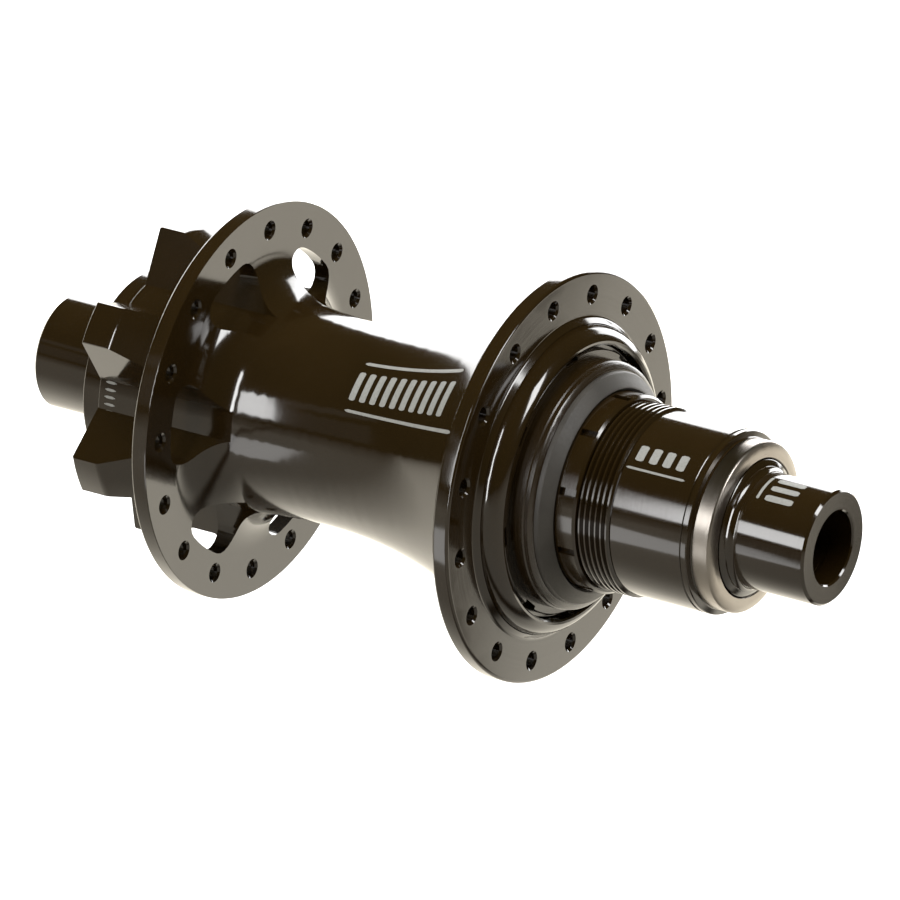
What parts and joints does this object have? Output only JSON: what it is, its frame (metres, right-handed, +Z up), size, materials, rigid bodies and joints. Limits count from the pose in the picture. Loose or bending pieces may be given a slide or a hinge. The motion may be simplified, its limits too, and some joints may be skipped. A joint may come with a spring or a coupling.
{
  "type": "bicycle rear hub",
  "caption": "Rear bicycle hub: hourglass shell with two drilled spoke flanges, disc rotor tabs, toothed freewheel driver with threaded cassette seat, sealed bearings and push-on end caps.",
  "frame": {"origin": "on the hub axis, midway between the outer faces of the two end caps", "axes": "+Y along the hub axis towards the disc-brake side, +Z up, +X completes the right-handed frame (forward when the driver faces the viewer)"},
  "size_m": [0.068, 0.148, 0.068],
  "materials": {
    "anodised_gloss": "gloss black anodised",
    "anodised_satin": "satin black anodised",
    "gunmetal_ring": "polished gunmetal",
    "ratchet_steel": "ground tool steel",
    "plain_steel": "plain steel",
    "bearing_steel": "polished bearing steel",
    "seal_rubber": "matt grey-brown rubber",
    "bearing_seal": "black moulded rubber",
    "cage_plastic": "natural nylon"
  },
  "bodies": {
    "axle_set": {"axle": "anodised_satin", "axle_spacer": "plain_steel", "driver_spacer": "plain_steel", "cap_oring_left": "seal_rubber", "cap_oring_right": "seal_rubber", "lb_inner_race": "bearing_steel", "rb_inner_race": "bearing_steel", "ib_inner_race": "bearing_steel", "ob_inner_race": "bearing_steel"},
    "shell": {"hub_shell": "anodised_gloss", "drive_ring": "ratchet_steel", "seal_carrier": "anodised_satin", "driver_seal": "seal_rubber", "lb_outer_race": "bearing_steel", "rb_outer_race": "bearing_steel", "lb_seals": "bearing_seal", "rb_seals": "bearing_seal"},
    "driver": {"driver_body": "anodised_gloss", "driver_end_ring": "gunmetal_ring", "driver_snap_ring": "plain_steel", "pawl_springs": "plain_steel", "ib_outer_race": "bearing_steel", "ob_outer_race": "bearing_steel", "ib_seals": "bearing_seal", "ob_seals": "bearing_seal"},
    "pawl_body_1": {"pawl_1": "ratchet_steel"},
    "pawl_body_2": {"pawl_2": "ratchet_steel"},
    "pawl_body_3": {"pawl_3": "ratchet_steel"},
    "pawl_body_4": {"pawl_4": "ratchet_steel"},
    "left_cap": {"end_cap_left": "anodised_gloss"},
    "right_cap": {"end_cap_right": "anodised_gloss"},
    "lb_ball_set": {"lb_balls": "bearing_steel", "lb_cage": "cage_plastic"},
    "rb_ball_set": {"rb_balls": "bearing_steel", "rb_cage": "cage_plastic"},
    "ib_ball_set": {"ib_balls": "bearing_steel", "ib_cage": "cage_plastic"},
    "ob_ball_set": {"ob_balls": "bearing_steel", "ob_cage": "cage_plastic"}
  },
  "joints": [
    {"name": "shell_spin", "type": "hinge", "parent": "axle_set", "child": "shell", "pos_m": [0, 0, 0], "axis": [0, 1, 0], "continuous": true},
    {"name": "driver_spin", "type": "hinge", "parent": "axle_set", "child": "driver", "pos_m": [0, 0, 0], "axis": [0, 1, 0], "continuous": true},
    {"name": "lb_ball_orbit", "type": "hinge", "parent": "axle_set", "child": "lb_ball_set", "pos_m": [0, 0.055, 0], "axis": [0, 1, 0], "continuous": true},
    {"name": "rb_ball_orbit", "type": "hinge", "parent": "axle_set", "child": "rb_ball_set", "pos_m": [0, -0.0085, 0], "axis": [0, 1, 0], "continuous": true},
    {"name": "ib_ball_orbit", "type": "hinge", "parent": "axle_set", "child": "ib_ball_set", "pos_m": [0, -0.0265, 0], "axis": [0, 1, 0], "continuous": true},
    {"name": "ob_ball_orbit", "type": "hinge", "parent": "axle_set", "child": "ob_ball_set", "pos_m": [0, -0.0525, 0], "axis": [0, 1, 0], "continuous": true},
    {"name": "pawl_1_tilt", "type": "hinge", "parent": "driver", "child": "pawl_body_1", "pos_m": [0.014, -0.018, 0], "axis": [0, -1, 0], "range_deg": [0, 11], "stiffness_Nm_per_rad": 0.002, "springref_deg": 14.9},
    {"name": "pawl_2_tilt", "type": "hinge", "parent": "driver", "child": "pawl_body_2", "pos_m": [-0.00122, -0.018, -0.01395], "axis": [0, -1, 0], "range_deg": [0, 5.5], "stiffness_Nm_per_rad": 0.002, "springref_deg": 14.9},
    {"name": "pawl_3_tilt", "type": "hinge", "parent": "driver", "child": "pawl_body_3", "pos_m": [-0.014, -0.018, 0], "axis": [0, -1, 0], "range_deg": [0, 11], "stiffness_Nm_per_rad": 0.002, "springref_deg": 14.9},
    {"name": "pawl_4_tilt", "type": "hinge", "parent": "driver", "child": "pawl_body_4", "pos_m": [0.00122, -0.018, 0.01395], "axis": [0, -1, 0], "range_deg": [0, 5.5], "stiffness_Nm_per_rad": 0.002, "springref_deg": 14.9},
    {"name": "left_cap_pull", "type": "slide", "parent": "axle_set", "child": "left_cap", "axis": [0, 1, 0], "range_m": [0, 0.016]},
    {"name": "right_cap_pull", "type": "slide", "parent": "axle_set", "child": "right_cap", "axis": [0, -1, 0], "range_m": [0, 0.018]}
  ],
  "couplings": [
    {"joint": "lb_ball_orbit", "follows": "shell_spin", "ratio": 0.5851},
    {"joint": "rb_ball_orbit", "follows": "shell_spin", "ratio": 0.5851},
    {"joint": "ib_ball_orbit", "follows": "driver_spin", "ratio": 0.5558},
    {"joint": "ob_ball_orbit", "follows": "driver_spin", "ratio": 0.5558},
    {"joint": "pawl_3_tilt", "follows": "pawl_1_tilt", "ratio": 1},
    {"joint": "pawl_4_tilt", "follows": "pawl_2_tilt", "ratio": 1}
  ]
}
